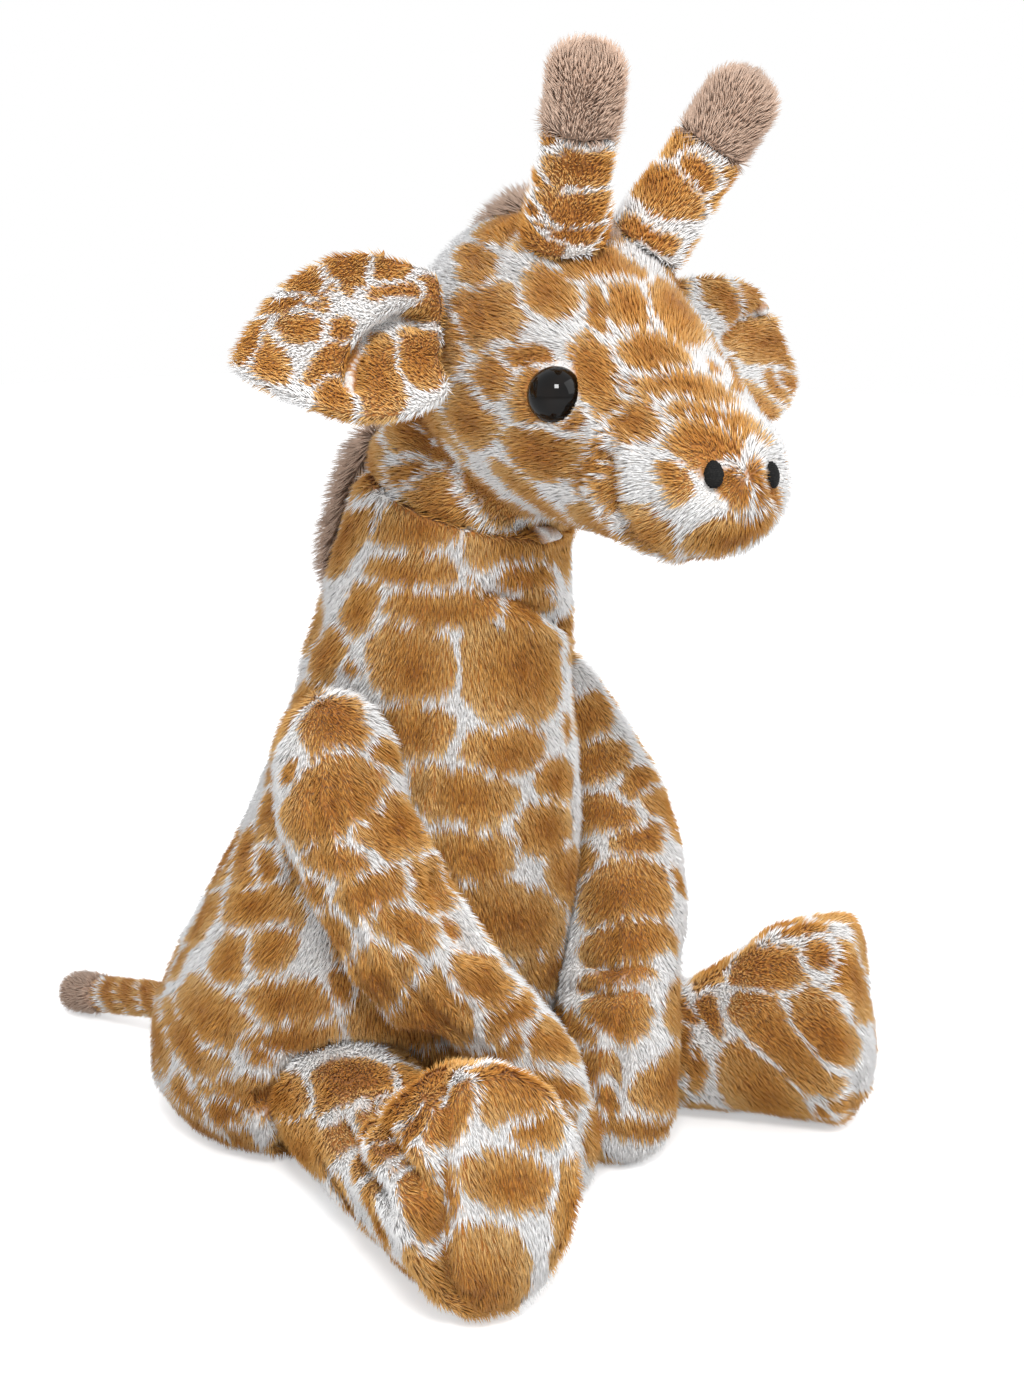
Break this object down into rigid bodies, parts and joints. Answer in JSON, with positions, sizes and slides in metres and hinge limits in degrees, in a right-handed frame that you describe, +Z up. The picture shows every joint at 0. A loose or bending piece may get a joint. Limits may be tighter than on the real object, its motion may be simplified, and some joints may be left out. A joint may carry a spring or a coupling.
{
  "type": "plush giraffe",
  "caption": "Seated soft toy giraffe with a stuffed body and long neck, floppy limbs and ears, horns, a turning head and a thin tail.",
  "frame": {"origin": "middle of the flat seat, on the floor that the giraffe sits on", "axes": "+Z up, the giraffe faces -Y, its right side is -X"},
  "size_m": [0.2382, 0.3282, 0.3471],
  "materials": {
    "patterned_pile": "soft cut pile, caramel patches on white",
    "taupe_pile": "soft cut pile",
    "stuffing": "loose fibre filling",
    "bag_cloth": "plain woven bag of pellets",
    "eye_plastic": "glossy black dome",
    "washer_plastic": "plain moulded washer",
    "nostril_thread": "black embroidery thread"
  },
  "bodies": {
    "torso": {"body_skin": "patterned_pile", "body_filling": "stuffing", "seat_pellet_bag": "bag_cloth", "neck_mane": "taupe_pile"},
    "head": {"head_skin": "patterned_pile", "head_filling": "stuffing", "head_mane": "taupe_pile", "eye_right": "eye_plastic", "eye_washer_right": "washer_plastic", "eye_left": "eye_plastic", "eye_washer_left": "washer_plastic", "nostril_right": "nostril_thread", "nostril_left": "nostril_thread", "horn_sleeve_right": "patterned_pile", "horn_tip_right": "taupe_pile", "horn_filling_right": "stuffing", "horn_sleeve_left": "patterned_pile", "horn_tip_left": "taupe_pile", "horn_filling_left": "stuffing"},
    "ear_right": {"ear_back_right": "patterned_pile", "ear_lining_right": "patterned_pile"},
    "ear_left": {"ear_back_left": "patterned_pile", "ear_lining_left": "patterned_pile"},
    "arm_right": {"arm_skin_right": "patterned_pile", "arm_filling_right": "stuffing"},
    "arm_left": {"arm_skin_left": "patterned_pile", "arm_filling_left": "stuffing"},
    "leg_right": {"leg_skin_right": "patterned_pile", "sole_right": "patterned_pile", "leg_filling_right": "stuffing", "foot_pellet_bag_right": "bag_cloth"},
    "leg_left": {"leg_skin_left": "patterned_pile", "sole_left": "patterned_pile", "leg_filling_left": "stuffing", "foot_pellet_bag_left": "bag_cloth"},
    "tail": {"tail_sleeve": "patterned_pile", "tail_tip": "taupe_pile"}
  },
  "joints": [
    {"name": "head_turn", "type": "hinge", "parent": "torso", "child": "head", "pos_m": [0, -0.052, 0.2195], "axis": [0, -0.3746, 0.9272], "range_deg": [-15, 35], "stiffness_Nm_per_rad": 0.3},
    {"name": "shoulder_right", "type": "hinge", "parent": "torso", "child": "arm_right", "pos_m": [-0.05058, -0.04356, 0.1395], "axis": [-1, 0, 0], "range_deg": [0, 65]},
    {"name": "shoulder_left", "type": "hinge", "parent": "torso", "child": "arm_left", "pos_m": [0.05058, -0.04356, 0.1395], "axis": [-1, 0, 0], "range_deg": [0, 65]},
    {"name": "hip_right", "type": "hinge", "parent": "torso", "child": "leg_right", "pos_m": [-0.0469, -0.04087, 0.02444], "axis": [-0.9092, 0.4163, 0], "range_deg": [-30, 0]},
    {"name": "hip_left", "type": "hinge", "parent": "torso", "child": "leg_left", "pos_m": [0.0469, -0.04087, 0.02444], "axis": [-0.9092, -0.4163, 0], "range_deg": [-30, 0]},
    {"name": "ear_flop_right", "type": "hinge", "parent": "head", "child": "ear_right", "pos_m": [-0.04376, -0.07903, 0.26793], "axis": [0.161, 0.9869, -0.0053], "range_deg": [-18, 18], "stiffness_Nm_per_rad": 0.08},
    {"name": "ear_flop_left", "type": "hinge", "parent": "head", "child": "ear_left", "pos_m": [0.03875, -0.09252, 0.26248], "axis": [-0.161, -0.9869, 0.0053], "range_deg": [-18, 18], "stiffness_Nm_per_rad": 0.08},
    {"name": "tail_lift", "type": "hinge", "parent": "torso", "child": "tail", "pos_m": [0, 0.06145, 0.021], "axis": [1, 0, 0], "range_deg": [-20, 40]}
  ]
}
